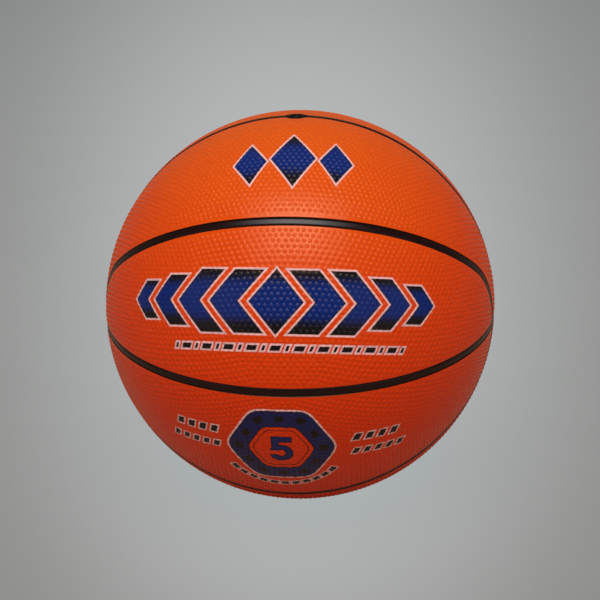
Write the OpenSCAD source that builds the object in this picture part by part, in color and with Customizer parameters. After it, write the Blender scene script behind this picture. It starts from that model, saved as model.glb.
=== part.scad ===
// Size 5 moulded rubber basketball, eight panels, nylon wound over a butyl bladder.
// Frame: origin at the ball's centre, +Z out through the valve, X through the two
// points where the ring seam crosses the equator seam. The front loop is centred on -Y.
// All seam walls point at the ball's centre, so neighbours share them at any depth.

/* [Ball] */
// Diameter over the cover
ball_d = 222; // [178:1:245]

/* [Wall, from outside to inside] */
// Depth of the seam channels below the cover
channel_depth = 0.9; // [0.7:0.1:1.4]
// Thickness of the black strips in the channels
strip_t = 0.6; // [0.4:0.1:1.2]
// Thickness of the carcass rubber under the panels
carcass_t = 0.6; // [0.4:0.1:1.2]
// Thickness of the nylon winding
winding_t = 0.35; // [0.2:0.05:0.8]
// Thickness of the bladder wall
bladder_t = 0.65; // [0.4:0.05:1.2]

/* [Seams] */
// Width of a channel between two panels
channel_w = 4.2; // [3:0.1:6.4]
// Bevel on the edge of each panel
edge_bevel = 0.5; // [0.2:0.1:0.6]
// Angle from the equator seam up to the side of a loop, at the front
loop_half_angle = 44.6; // [40:0.2:50]
// Angle at the ball's centre that the round tip of a loop spans, as a radius
tip_angle = 26; // [20:0.5:30]

/* [Valve] */
// Diameter of the valve's collar in the cover
collar_d = 10.8; // [9:0.2:13]
// Diameter of the raised ring on the collar
ring_d = 7.6; // [6.8:0.2:8.4]
// How far the ring's top lies below the cover
ring_sink = 0.1; // [0.05:0.05:0.4]
// Diameter of the valve's stem where it passes through the wall
stem_d = 9.4; // [9:0.2:11]
// Diameter of the valve's flange inside the bladder
flange_d = 22; // [18:1:28]
// Thickness of that flange
flange_t = 0.9; // [0.6:0.1:1.5]
// How far the stem reaches in past the bladder wall
stem_reach = 15; // [13:1:20]
// Diameter of the patch that bonds the flange to the bladder
patch_d = 34; // [30:1:44]
// Thickness of that patch
patch_t = 0.7; // [0.5:0.1:1.2]

/* [Valve core] */
// Diameter of the core's neck
neck_d = 4; // [3.4:0.2:4.6]
// Length of the neck
neck_l = 5; // [4:0.5:6]
// Diameter of the core's plug
plug_d = 6; // [5.4:0.2:7]
// Length of the plug
plug_l = 9; // [7:0.5:10]
// Diameter of the bore that guides the inflating needle
needle_d = 2.2; // [2:0.1:2.4]
// Length of that bore
needle_l = 8; // [6:0.5:9]
// How far the core's face lies below the ring's top
core_sink = 0.5; // [0.3:0.1:0.8]
// Widening of the bore at its mouth, on the radius and in depth
mouth_flare = 0.5; // [0.2:0.1:0.6]

/* [Hidden] */
$fn = 144;

// A cut runs this far past the surface that it opens
overrun = 2;

// Radii of the wall's faces, from outside to inside
ball_r = ball_d / 2;
strip_r = ball_r - channel_depth;
carcass_r = strip_r - strip_t;
winding_r = carcass_r - carcass_t;
bladder_r = winding_r - winding_t;
inside_r = bladder_r - bladder_t;
flange_in_r = inside_r - flange_t;
reach_r = ball_r + overrun;
root_r = carcass_r - overrun;

// Angles at the ball's centre from the middle of a channel to its wall and to its bevel's rim
wall_angle = asin(channel_w / 2 / ball_r);
rim_angle = wall_angle + atan((edge_bevel + overrun) / reach_r);

// The tip's axis lies in the equator plane, this far from the X pole
tip_axis = asin(sin(tip_angle) / sin(loop_half_angle));
// Where the side of a loop runs into its tip, about the axis of the side and of the tip
side_start = atan(tan(tip_axis) * cos(loop_half_angle));
tip_start = atan(tan(loop_half_angle) * cos(tip_axis));

// Flat walls that follow a quarter of a loop, along its side and round its tip
side_steps = 6;
tip_steps = 12;
// The loop's plug reaches out to this share of the ball's radius, so that its flat faces clear the ball
plug_reach_share = 1.5;
plug_reach = plug_reach_share * ball_r;

// Heights in the valve
ring_top = ball_r - ring_sink;
ring_fillet = (ring_d - neck_d) / 4;
core_top = ring_top - core_sink;
plug_top = core_top - neck_l;
plug_bottom = plug_top - plug_l;
needle_bottom = core_top - mouth_flare - needle_l;
stem_bottom = inside_r - stem_reach;

cover_colour = "#d9531e";
black_rubber = "#1a1718";
butyl_colour = "#2b2a2c";
nylon_colour = "#dcd8c8";
carcass_colour = "#3a3330";

// A point at an angle from the sweep's axis and a distance from the ball's centre
function polar(angle, r) = [r * sin(angle), r * cos(angle)];

module between_spheres(outer, inner) {
    difference() {
        sphere(r = outer);
        sphere(r = inner);
    }
}

// The space on the +Z side of a channel round the equator, with its bevel
module beside_channel() {
    rotate_extrude() polygon([
        [0, 0],
        polar(90 - wall_angle, ball_r - edge_bevel),
        polar(90 - rim_angle, reach_r),
        [reach_r * sin(90 - rim_angle), reach_r],
        [0, reach_r]
    ]);
}

// up: 1 above the equator seam, -1 below it
module off_equator(up) {
    mirror([0, 0, up < 0 ? 1 : 0]) beside_channel();
}

// side: -1 in front of the ring seam, 1 behind it
module off_ring(side) {
    rotate([side * -90, 0, 0]) beside_channel();
}

// The black strip round the equator, before it is cut to length
module strip_band() {
    intersection() {
        between_spheres(strip_r, carcass_r);
        rotate_extrude() polygon([
            polar(90 - wall_angle, root_r),
            polar(90 - wall_angle, reach_r),
            polar(90 + wall_angle, reach_r),
            polar(90 + wall_angle, root_r)
        ]);
    }
}

// A direction along the upper side of the front loop. The side is a great circle.
// azimuth: about the side's axis, -90 in the middle. out: angle out from the seam's middle.
function side_direction(azimuth, out) = [
    cos(out) * cos(azimuth),
    cos(out) * sin(azimuth) * cos(loop_half_angle) + sin(out) * sin(loop_half_angle),
    sin(out) * cos(loop_half_angle) - cos(out) * sin(azimuth) * sin(loop_half_angle)
];

// A direction round the tip by the +X pole. azimuth: about the tip's axis, 90 on the equator.
function tip_direction(azimuth, out) =
    let (along = cos(tip_angle + out), across = sin(tip_angle + out) * sin(azimuth))
    [
        along * cos(tip_axis) + across * sin(tip_axis),
        across * cos(tip_axis) - along * sin(tip_axis),
        -sin(tip_angle + out) * cos(azimuth)
    ];

// From the middle of the upper side to the end of the tip
function loop_quarter(out) = concat(
    [for (i = [0 : side_steps - 1]) side_direction(-90 + i * (90 - side_start) / side_steps, out)],
    [for (i = [0 : tip_steps]) tip_direction(180 - tip_start - i * (90 - tip_start) / tip_steps, out)]
);

function flip(points, x, z) = [for (p = points) [p[0] * x, p[1], p[2] * z]];

// The whole loop, clockwise as seen from the front
function loop_outline(out) =
    let (quarter = loop_quarter(out), last = len(quarter) - 1)
    concat(
        quarter,
        flip([for (i = [last - 1 : -1 : 0]) quarter[i]], 1, -1),
        flip([for (i = [1 : last]) quarter[i]], -1, -1),
        flip([for (i = [last - 1 : -1 : 1]) quarter[i]], -1, 1)
    );

// All the space inside one wall of a loop's channel, from the ball's centre outwards.
// side: -1 for the front loop, 1 for the back one. wall: -1 for the inner wall, 1 for the outer.
module loop_plug(side, wall) {
    foot = loop_outline(wall * wall_angle);
    rim = loop_outline(wall * rim_angle);
    count = len(foot);
    function next(i) = (i + 1) % count;
    mirror([0, side > 0 ? 1 : 0, 0])
        polyhedron(
            points = concat(
                (ball_r - edge_bevel) * foot, reach_r * rim, plug_reach * rim,
                [[0, 0, 0], [0, -plug_reach, 0]]
            ),
            faces = concat(
                [for (i = [0 : count - 1]) [3 * count, next(i), i]],
                [for (ring = [0, count], i = [0 : count - 1]) [ring + i, ring + next(i), ring + count + i]],
                [for (ring = [0, count], i = [0 : count - 1])
                    [ring + next(i), ring + count + next(i), ring + count + i]],
                [for (i = [0 : count - 1]) [2 * count + i, 2 * count + next(i), 3 * count + 1]]
            )
        );
}

// The round seat that the valve's collar fills
module collar_seat() {
    translate([0, 0, root_r]) cylinder(d = collar_d, h = reach_r - root_r);
}

module stem_hole() {
    translate([0, 0, inside_r - overrun]) cylinder(d = stem_d, h = reach_r - inside_r + overrun);
}

// One of the four panels inside the loops. up and side as above.
module inner_panel(up, side) {
    color(cover_colour)
        intersection() {
            between_spheres(ball_r, carcass_r);
            off_equator(up);
            loop_plug(side, -1);
        }
}

// One of the four panels between the loops and the ring. The poles of its spheres are
// turned to the front and back, away from its edges.
module outer_panel(up, side) {
    color(cover_colour)
        difference() {
            intersection() {
                rotate([90, 0, 0]) between_spheres(ball_r, carcass_r);
                off_equator(up);
                off_ring(side);
            }
            loop_plug(side, 1);
            if (up > 0) collar_seat();
        }
}

module strip_ring() {
    color(black_rubber)
        difference() {
            rotate([90, 0, 0]) strip_band();
            collar_seat();
        }
}

module strip_loop(side) {
    color(black_rubber)
        difference() {
            intersection() {
                between_spheres(strip_r, carcass_r);
                loop_plug(side, 1);
            }
            loop_plug(side, -1);
        }
}

// The equator's strip inside a loop
module strip_equator(side) {
    color(black_rubber)
        intersection() {
            strip_band();
            loop_plug(side, -1);
        }
}

// A short strip of the equator between the ring and the tip of a loop. end: 1 at +X, -1 at -X.
module strip_cross(side, end) {
    color(black_rubber)
        difference() {
            intersection() {
                strip_band();
                off_ring(side);
                translate([end * reach_r / 2, 0, 0]) cube([reach_r, 2 * reach_r, 2 * reach_r], center = true);
            }
            loop_plug(side, 1);
        }
}

module carcass(up) {
    color(carcass_colour)
        difference() {
            intersection() {
                between_spheres(carcass_r, winding_r);
                translate([0, 0, up * reach_r / 2]) cube([2 * reach_r, 2 * reach_r, reach_r], center = true);
            }
            if (up > 0) stem_hole();
        }
}

module nylon_winding() {
    color(nylon_colour)
        difference() {
            between_spheres(winding_r, bladder_r);
            stem_hole();
        }
}

module bladder() {
    color(butyl_colour)
        difference() {
            between_spheres(bladder_r, inside_r);
            stem_hole();
        }
}

module upright(d, bottom, top) {
    translate([0, 0, bottom]) cylinder(d = d, h = top - bottom);
}

// Half of an upright's section, beside the valve's axis
module half_upright(d, bottom, top) {
    translate([0, bottom]) square([d / 2, top - bottom]);
}

// The wall between two radii, in section, out to a diameter
module half_cap(outer, inner, d) {
    intersection() {
        difference() {
            circle(r = outer);
            circle(r = inner);
        }
        half_upright(d, 0, reach_r);
    }
}

// The flange follows the inside of the bladder
module half_flange() {
    half_cap(inside_r, flange_in_r, flange_d);
}

module valve_patch() {
    color(butyl_colour)
        rotate_extrude() difference() {
            half_cap(inside_r, flange_in_r - patch_t, patch_d);
            half_flange();
            half_upright(stem_d, stem_bottom, reach_r);
        }
}

// Turned from one section: the collar, the stem, the flange and the ring with its rounded top
module valve_body() {
    color(black_rubber)
        rotate_extrude() difference() {
            union() {
                half_cap(strip_r, carcass_r, collar_d);
                intersection() {
                    circle(r = strip_r);
                    half_upright(stem_d, stem_bottom, strip_r);
                }
                half_flange();
                half_upright(ring_d, winding_r, ring_top - ring_fillet);
                translate([ring_d / 2 - ring_fillet, ring_top - ring_fillet]) circle(r = ring_fillet);
            }
            half_upright(neck_d, plug_top, reach_r);
            half_upright(plug_d, plug_bottom, plug_top);
            half_upright(needle_d, stem_bottom - overrun, plug_bottom);
        }
}

module valve_core() {
    color(butyl_colour)
        difference() {
            union() {
                upright(neck_d, plug_top, core_top);
                upright(plug_d, plug_bottom, plug_top);
            }
            upright(needle_d, needle_bottom, core_top + overrun);
            translate([0, 0, core_top - mouth_flare])
                cylinder(d1 = needle_d, d2 = needle_d + 2 * mouth_flare, h = mouth_flare);
        }
}

bladder();
valve_patch();
valve_body();
valve_core();
nylon_winding();
carcass(1);  // carcass_upper
carcass(-1);  // carcass_lower
inner_panel(1, -1);  // panel_front_upper_inner
inner_panel(-1, -1);  // panel_front_lower_inner
outer_panel(1, -1);  // panel_front_upper_outer
outer_panel(-1, -1);  // panel_front_lower_outer
inner_panel(1, 1);  // panel_back_upper_inner
inner_panel(-1, 1);  // panel_back_lower_inner
outer_panel(1, 1);  // panel_back_upper_outer
outer_panel(-1, 1);  // panel_back_lower_outer
strip_ring();
strip_loop(-1);  // strip_loop_front
strip_loop(1);  // strip_loop_back
strip_equator(-1);  // strip_equator_front
strip_equator(1);  // strip_equator_back
strip_cross(-1, 1);  // strip_cross_front_right
strip_cross(-1, -1);  // strip_cross_front_left
strip_cross(1, 1);  // strip_cross_back_right
strip_cross(1, -1);  // strip_cross_back_left
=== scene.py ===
"""A size 5 rubber basketball: pebbled cover panels, black seam strips, a needle valve and the layers inside.

Frame: origin at the ball's centre, +Z out through the valve, X through the two points where
the ring seam crosses the equator seam, the front loop of the seam round -Y. Sizes are in mm.
"""

import itertools
import math

import bpy
import numpy as np
from mathutils import Matrix, Vector
from mathutils.geometry import delaunay_2d_cdt


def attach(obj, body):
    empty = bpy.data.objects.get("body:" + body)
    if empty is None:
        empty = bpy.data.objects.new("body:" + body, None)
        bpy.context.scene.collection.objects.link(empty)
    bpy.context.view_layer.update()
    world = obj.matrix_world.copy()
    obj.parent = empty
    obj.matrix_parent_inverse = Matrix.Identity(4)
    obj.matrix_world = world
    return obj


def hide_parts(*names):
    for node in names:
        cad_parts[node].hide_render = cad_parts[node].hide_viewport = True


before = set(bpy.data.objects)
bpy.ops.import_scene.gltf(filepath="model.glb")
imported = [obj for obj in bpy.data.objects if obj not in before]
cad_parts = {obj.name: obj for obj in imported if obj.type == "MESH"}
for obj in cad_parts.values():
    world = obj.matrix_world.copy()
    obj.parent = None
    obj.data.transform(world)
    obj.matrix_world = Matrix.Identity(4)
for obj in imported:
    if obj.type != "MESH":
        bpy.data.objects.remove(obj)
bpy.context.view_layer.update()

MM = 0.001

# Sizes repeated from the solids
BALL_R = 111.0
STRIP_R = 110.1
CARCASS_R = 109.5
CHANNEL_HALF = 2.1
COLLAR_R = 5.4
LOOP_HALF_ANGLE = math.radians(44.6)
TIP_ANGLE = math.radians(26.0)

# The cover
PEBBLE_LATTICE = 45  # pebbles along each edge of the lattice's twenty triangles
FINE = 5  # mesh steps from one pebble to the next
PITCH = BALL_R * math.acos(1 / math.sqrt(5)) / PEBBLE_LATTICE
NEIGHBOUR_ANGLE = 64.0  # degrees; only corners that share an edge of the lattice's body lie closer
FACE_TILT = 31.0  # degrees up, from level, of the lattice's front triangle
PEBBLE_R = 0.395  # of the way to the next pebble
PEBBLE_RINGS = ((0.0, 0.23, 0.385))  # where mesh points lie round it, likewise
FOOT_NEAR = 0.01  # how near to the last of those rings a point counts as on it
PEBBLE_H = 0.25
PEBBLE_ROUNDNESS = 0.8  # 1 gives a parabola, and less a flatter top
PEBBLE_UNEVEN = 0.15  # share of its height that a pebble may lack
PEBBLE_STRAY = 0.1  # how far a pebble may lie from its place
STRAY_SEED, HEIGHT_SEED = 11, 5
COVER_R = 110.66
LIP_R = 0.5  # rounding of a panel's edge
LIP_TURNS = (72, 60, 45, 25, 5)  # degrees round that edge, from the cover towards the wall
PAINT_FROM = 66  # below so many of those degrees the edge is black
CORNER_R = 1.3
WALL_MID_R = (STRIP_R + COVER_R) / 2 - 0.1
PANEL_FOOT_R = 109.75
UNDER_GAP = 2.0  # the underside's own points keep so far from the wall
UNDER_LATTICE = 24
EDGE_SNAP = 0.12  # mesh points this near to an edge move onto it, in mesh steps
SMOOTH_EDGE = 0.5  # width without pebbles inside a panel's lip
EDGE_FADE, LIP_FADE = 1.2, 0.6  # over such widths the pebbles rise to their full height
VALVE_SMOOTH = 2.5  # more width without pebbles round the valve

# The strips in the seams
STRIP_T = 0.42  # at its edges
STRIP_MID_R = CARCASS_R + 0.02 + STRIP_T / 2  # just off the carcass
STRIP_W = 2 * CHANNEL_HALF + 0.1
STRIP_CROWN = 0.62
STRIP_ROUNDING = 0.1
STRIP_CORNER_STEPS, STRIP_PROFILE_POINTS = 4, 36
UNDER_COLLAR = 0.6  # how far the ring's strip reaches under the valve's collar
PATH_STEP = 2.0  # on the equator
RING_POINTS, SIDE_POINTS, TIP_POINTS = 350, 60, 26  # on the ring, and on each loop's quarters

# The valve, with heights from the ball's centre
NEEDLE_R, NECK_R, PLUG_R, STEM_R, FLANGE_R = 1.1, 2.0, 3.0, 4.7, 11.0
STEM_FOOT, PLUG_FOOT, NEEDLE_FOOT, PLUG_TOP = 92.9, 96.4, 101.9, 105.4
FLANGE_UNDER, FLANGE_TOP = 106.9, 107.9
FLANGE_RIM_UNDER, FLANGE_RIM_TOP = 106.5, 107.35  # lower, as the flange follows the ball
COLLAR_FOOT, COLLAR_TOP, RING_TOP = 109.5, 110.47, 110.88
COLLAR_FALL = 0.02  # from the ring to the collar's edge
MOUTH_ROUND, RING_ROUND, RING_FILLET, COLLAR_ROUND, STEM_CHAMFER = 0.3, 0.45, 0.25, 0.4, 0.3
RING_SHOULDER_R, RING_FOOT_R, COLLAR_FLAT_R, COLLAR_EDGE_R = 3.1, 3.85, 4.6, COLLAR_R - 0.05
FLANGE_UNDER_R = 10.9
CORE_TOP, CORE_EDGE, CORE_TOP_R, MOUTH_FLARE = 110.38, 110.2, 1.85, 0.5
SLIT_R, SLIT_TOP = 0.3, 101.7
PLAY = 0.02  # between the core and the body round it
SHORT_STEP = 0.05
VALVE_SEGMENTS = 96

# The camera, fitted to the ball's outline and seams
CAMERA_DISTANCE = 5.867 * (BALL_R - 0.35)  # the pebbled outline lies a little inside the ball's radius
CAMERA_AT = (4.3835, 23.0889)  # degrees round from the front towards +X and up
CAMERA_ROLL = math.radians(-1.2392)
CAMERA_FOCAL_PX = 1121.8
CAMERA_SEES = (0.05, 400.0)  # from and to, in metres
FRAME_PX = 600
SENSOR = 36
BALL_AT_PX = (0.22, -4.2)  # where the ball's centre lies from the middle of the picture, right and up


# Small helpers for nodes


def maths(operation):
    """A method that works a Wire into a maths node."""
    return lambda wire, *others: wire.math(operation, *others)


class Wire:
    """A node's output that can be used in Python sums."""

    def __init__(self, tree, socket):
        self.tree, self.socket = tree, socket

    def math(self, operation, *others):
        return make(self.tree, "ShaderNodeMath", {"operation": operation}, dict(enumerate((self, *others))))

    def vector(self, operation, *others, out="Vector"):
        feeds = {0: self, "Scale": others[0]} if operation == "SCALE" else dict(enumerate((self, *others)))
        return make(self.tree, "ShaderNodeVectorMath", {"operation": operation}, feeds, out)

    __add__ = __radd__ = maths("ADD")
    __mul__ = __rmul__ = maths("MULTIPLY")
    __sub__, __truediv__, __pow__ = maths("SUBTRACT"), maths("DIVIDE"), maths("POWER")
    __abs__, least, most = maths("ABSOLUTE"), maths("MINIMUM"), maths("MAXIMUM")

    def __rsub__(self, other):
        return self.math("MULTIPLY_ADD", -1.0, other)

    def __neg__(self):
        return self.math("MULTIPLY", -1.0)

    def dot(self, axis):
        return self.vector("DOT_PRODUCT", tuple(axis), out="Value")

    def part(self, axis):
        return make(self.tree, "ShaderNodeSeparateXYZ", None, {"Vector": self}, axis)

    def smooth(self, low, high):
        """A soft step from 0 at low to 1 at high."""
        feeds = {"Value": self, "From Min": low, "From Max": high, "To Min": 0.0, "To Max": 1.0}
        return make(self.tree, "ShaderNodeMapRange", {"interpolation_type": "SMOOTHSTEP"}, feeds)


def feed(node, feeds):
    """Gives a node's inputs what they are fed with: a number, a colour or a Wire."""
    for name, value in feeds.items():
        if isinstance(value, Wire):
            value.tree.links.new(value.socket, node.inputs[name])
        else:
            node.inputs[name].default_value = value


def make(tree, kind, settings=None, feeds=None, out=0):
    """A new node with its settings and its inputs, as the Wire of one output."""
    node = tree.nodes.new(kind)
    for name, value in (settings or {}).items():
        setattr(node, name, value)
    feed(node, feeds or {})
    return Wire(tree, node.outputs[out])


def mix_colour(share, first, second):
    """From the first colour at share 0 to the second at 1, each a Wire or a plain colour."""
    feeds = {0: share}
    for place, value in ((6, first), (7, second)):
        feeds[place] = value if isinstance(value, Wire) else (*value, 1.0)
    return make(share.tree, "ShaderNodeMix", {"data_type": "RGBA"}, feeds, 2)


def srgb(*levels):
    """A colour given in the picture's 0 to 255 numbers."""
    return tuple(c / 255 / 12.92 if c <= 10 else ((c / 255 + 0.055) / 1.055) ** 2.4 for c in levels)


def times(colour, share):
    return tuple(c * share for c in colour)


def directions_at(lon, lat):
    """Out, right and up at a point of the ball, in degrees round from the front towards +X and up."""
    a, b = math.radians(lon), math.radians(lat)
    out = np.array([math.sin(a) * math.cos(b), -math.cos(a) * math.cos(b), math.sin(b)])
    right = np.array([math.cos(a), math.sin(a), 0])
    return out, right, np.cross(out, right)


# The seams

TIP_AXIS = math.asin(math.sin(TIP_ANGLE) / math.sin(LOOP_HALF_ANGLE))
SIDE_NORMAL = np.array([0, math.sin(LOOP_HALF_ANGLE), math.cos(LOOP_HALF_ANGLE)])
TIP_POLE = np.array([math.cos(TIP_AXIS), -math.sin(TIP_AXIS), 0])
TIP_SIDE = np.cross(SIDE_NORMAL, TIP_POLE)


def from_loop(p, side):
    """How far in mm directions lie outside the middle of a loop's seam. side: -1 front, 1 back."""
    q = np.stack([np.abs(p[:, 0]), -side * p[:, 1], np.abs(p[:, 2])], 1)
    along_side = np.arcsin(np.clip(q @ SIDE_NORMAL, -1, 1))
    round_tip = np.arccos(np.clip(q @ TIP_POLE, -1, 1)) - TIP_ANGLE
    return BALL_R * np.where(q @ TIP_SIDE > 0, round_tip, along_side)


def from_plane(component):
    return BALL_R * np.arcsin(np.clip(component, -1, 1))


def panel_depth(p, up, side, inner):
    """How far in mm each direction lies inside a panel's wall, with the panel's corners rounded."""
    walls = [from_plane(up * p[:, 2]) - CHANNEL_HALF]
    loop = from_loop(p, side)
    if inner:
        walls.append(-loop - CHANNEL_HALF)
    else:
        walls += [loop - CHANNEL_HALF, from_plane(side * p[:, 1]) - CHANNEL_HALF]
        if up > 0:
            walls.append(BALL_R * np.arccos(np.clip(p[:, 2], -1, 1)) - COLLAR_R)
    round_r = CORNER_R + LIP_R
    short = np.stack([np.maximum(round_r - w, 0) for w in walls], 1)
    rounded = round_r - np.linalg.norm(short, axis=1)
    return np.where(rounded < round_r, rounded, np.min(walls, axis=0))


# Each panel's name, whether it lies up (1) or down (-1) and front (-1) or back (1), and whether in a loop
PANELS = [
    (f"{face}_{half}_{place}", up, side, place == "inner")
    for side, face in ((-1, "front"), (1, "back"))
    for up, half in ((1, "upper"), (-1, "lower"))
    for place in ("inner", "outer")
]


# The lattice


def unit(v):
    return v / np.linalg.norm(v, axis=-1, keepdims=True)


def icosahedron():
    """Its corners as directions, and its faces. One face looks forwards and up, with a level lower edge."""
    golden = (1 + math.sqrt(5)) / 2
    oblong = [(s, t * golden, 0) for s in (-1, 1) for t in (-1, 1)]
    corners = np.array(oblong + [(0, a, b) for a, b, _ in oblong] + [(b, 0, a) for a, b, _ in oblong])
    corners /= np.linalg.norm(corners[0])
    near = math.cos(math.radians(NEIGHBOUR_ANGLE))
    faces = [
        face
        for face in itertools.combinations(range(len(corners)), 3)
        if min(corners[i] @ corners[j] for i, j in itertools.combinations(face, 2)) > near
    ]
    first = corners[list(faces[0])]
    out, right = unit(first.sum(0)), unit(first[1] - first[0])
    found = np.stack([right, np.cross(out, right), out])
    tilt = math.radians(FACE_TILT)
    aim = np.stack([(1, 0, 0), (0, math.sin(tilt), math.cos(tilt)), (0, -math.cos(tilt), math.sin(tilt))])
    return corners @ (found.T @ aim), faces


def lattice(steps, fine=1):
    """Directions and triangles of an icosahedron whose edges are divided into so many steps.

    A pebble's centre lies at every point a number of fine steps apart. Also gives the pebble that each
    point belongs to and how many steps it lies from that pebble's centre.
    """
    corners, faces = icosahedron()
    edge = math.acos(corners[faces[0][0]] @ corners[faces[0][1]])
    a, b = np.meshgrid(np.arange(steps + 1), np.arange(steps + 1), indexing="ij")
    keep = a + b <= steps
    a, b = a[keep], b[keep]
    number = -np.ones((steps + 1, steps + 1), int)
    number[a, b] = np.arange(len(a))
    place = np.stack([a, b, steps - a - b], 1)
    shares = np.sin(place * edge / steps)
    i, j = np.meshgrid(np.arange(steps), np.arange(steps), indexing="ij")
    upright, turned_over = i + j < steps, i + j < steps - 1
    flat = np.concatenate([
        np.stack([n[upright] for n in (number[i, j], number[i + 1, j], number[i, j + 1])], 1),
        np.stack([n[turned_over] for n in (number[i + 1, j], number[i + 1, j + 1], number[i, j + 1])], 1),
    ])
    home = np.round(place / fine).astype(int)
    farthest = np.argmax(np.abs(place / fine - home), axis=1)
    home[np.arange(len(home)), farthest] += steps // fine - home.sum(1)
    ring = np.abs(place - home * fine).max(1)
    home = number[home[:, 0] * fine, home[:, 1] * fine]
    points, triangles, homes = [], [], []
    for f in faces:
        c = corners[list(f)]
        outward = np.linalg.det(c) > 0
        before = len(points) * len(shares)
        triangles.append((flat if outward else flat[:, ::-1]) + before)
        points.append(unit(shares @ c))
        homes.append(home + before)
    points, triangles, homes = np.concatenate(points), np.concatenate(triangles), np.concatenate(homes)
    key = np.round(points * 1e6).astype(np.int64)
    _, first_of, same = np.unique(key, axis=0, return_index=True, return_inverse=True)
    same = same.reshape(-1)
    return points[first_of], same[triangles], same[homes[first_of]], np.tile(ring, len(faces))[first_of]


UNDER_POINTS = lattice(UNDER_LATTICE)[0]
ASKEW = (0.31, 0.27, 0.91)  # a direction that nothing on the ball is lined up with


def slope(depth, p, step=1e-5):
    """The direction on the sphere in which depth grows, for each unit direction p."""
    east = unit(np.cross(ASKEW, p))
    north = np.cross(p, east)
    de = depth(unit(p + step * east)) - depth(unit(p - step * east))
    dn = depth(unit(p + step * north)) - depth(unit(p - step * north))
    return unit(de[:, None] * east + dn[:, None] * north)


def onto_edge(depth, p, tries=3):
    """Moves directions along the slope until depth is zero."""
    for _ in range(tries):
        d = depth(p)
        p = unit(p - (d / BALL_R)[:, None] * slope(depth, p))
    return p


# What stays of a triangle whose first corner is inside, by the signs of its second and third corners. A pair
# stands for the point where the edge between two corners is cut
E01, E02, E12 = [0, 1], [0, 2], [1, 2]
CUTS = {
    (-1, -1): [(0, E01, E02)],
    (1, -1): [(0, 1, E12), (0, E12, E02)],
    (0, -1): [(0, 1, E02)],
    (-1, 0): [(0, E01, 2)],
}


def cut_at_edge(points, triangles, depth):
    """The part of a triangle mesh on the sphere where depth is above zero, with its edge exactly at zero."""
    d = depth(points)
    close = np.abs(d) < EDGE_SNAP * PITCH / FINE
    points = points.copy()
    points[close] = onto_edge(depth, points[close])
    d[close] = 0
    sign = np.sign(d)
    corner_signs = sign[triangles]
    inside = triangles[(corner_signs >= 0).all(1) & (corner_signs > 0).any(1)]
    crossing = triangles[(corner_signs > 0).any(1) & (corner_signs < 0).any(1)]
    # Turn each crossing triangle so that its first corner is inside and the one before it isn't
    signs = sign[crossing]
    turns = np.argmax((signs > 0) & (np.roll(signs, 1, axis=1) <= 0), axis=1)
    rows = np.arange(len(crossing))[:, None]
    crossing = crossing[rows, (turns[:, None] + np.arange(3)) % 3]
    signs = sign[crossing]
    made, new_edges = [], []

    def corner(c, which):
        if which in (0, 1, 2):
            return c[:, which]
        new_edges.append(c[:, which])
        return -1 - (np.arange(len(c)) + sum(len(e) for e in new_edges[:-1]))

    for (second, third), pieces in CUTS.items():
        c = crossing[(signs[:, 1] == second) & (signs[:, 2] == third)]
        made += [np.stack([corner(c, which) for which in piece], 1) for piece in pieces]
    edges = np.sort(np.concatenate(new_edges), axis=1)
    unique, same = np.unique(edges, axis=0, return_inverse=True)
    same = same.reshape(-1)
    da, db = d[unique[:, 0]], d[unique[:, 1]]
    share = (da / (da - db))[:, None]
    cut = onto_edge(depth, unit(points[unique[:, 0]] * (1 - share) + points[unique[:, 1]] * share))
    made = np.concatenate(made)
    made = np.where(made < 0, len(points) + same[np.clip(-1 - made, 0, len(same) - 1)], made)
    points = np.concatenate([points, cut])
    triangles = np.concatenate([inside, made])
    used, triangles = np.unique(triangles, return_inverse=True)
    return points[used], triangles.reshape(-1, 3)


def outline(triangles):
    """The corners round the edge of a mesh with one edge loop, in the order of its triangles."""
    edges = np.concatenate([triangles[:, pair] for pair in ([0, 1], [1, 2], [2, 0])])
    whole = int(triangles.max()) + 1
    key, back = edges[:, 0] * whole + edges[:, 1], edges[:, 1] * whole + edges[:, 0]
    rim = edges[~np.isin(key, back)]
    follow = dict(zip(rim[:, 0].tolist(), rim[:, 1].tolist()))
    start = rim[0, 0]
    loop = [int(start)]
    while follow[loop[-1]] != start:
        loop.append(follow[loop[-1]])
    assert len(loop) == len(rim), "a panel has more than one edge loop"
    return np.array(loop)


def arc(centre, radius, turns):
    """Points round a centre, at the given degrees."""
    return [
        (centre[0] + radius * math.cos(math.radians(turn)), centre[1] + radius * math.sin(math.radians(turn)))
        for turn in turns
    ]


def keep_values(mesh, attributes):
    for label, values in attributes.items():
        mesh.attributes.new(label, "FLOAT", "POINT").data.foreach_set("value", np.asarray(values, np.float32))


def mesh_from(name, points, faces, attributes=None):
    """A smooth-shaded mesh whose faces all have the same number of corners."""
    faces = np.asarray(faces)
    mesh = bpy.data.meshes.new(name)
    mesh.vertices.add(len(points))
    mesh.vertices.foreach_set("co", np.asarray(points, np.float32).ravel())
    mesh.loops.add(faces.size)
    mesh.loops.foreach_set("vertex_index", faces.ravel().astype(np.int32))
    mesh.polygons.add(len(faces))
    mesh.polygons.foreach_set("loop_start", np.arange(0, faces.size, faces.shape[1], dtype=np.int32))
    mesh.update(calc_edges=True)
    mesh.validate()
    mesh.polygons.foreach_set("use_smooth", [True] * len(mesh.polygons))
    keep_values(mesh, attributes or {})
    return mesh


def shown(name, data):
    """A new object in the scene for a mesh, a camera or a light."""
    made = bpy.data.objects.new(name, data)
    bpy.context.scene.collection.objects.link(made)
    return made


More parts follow.
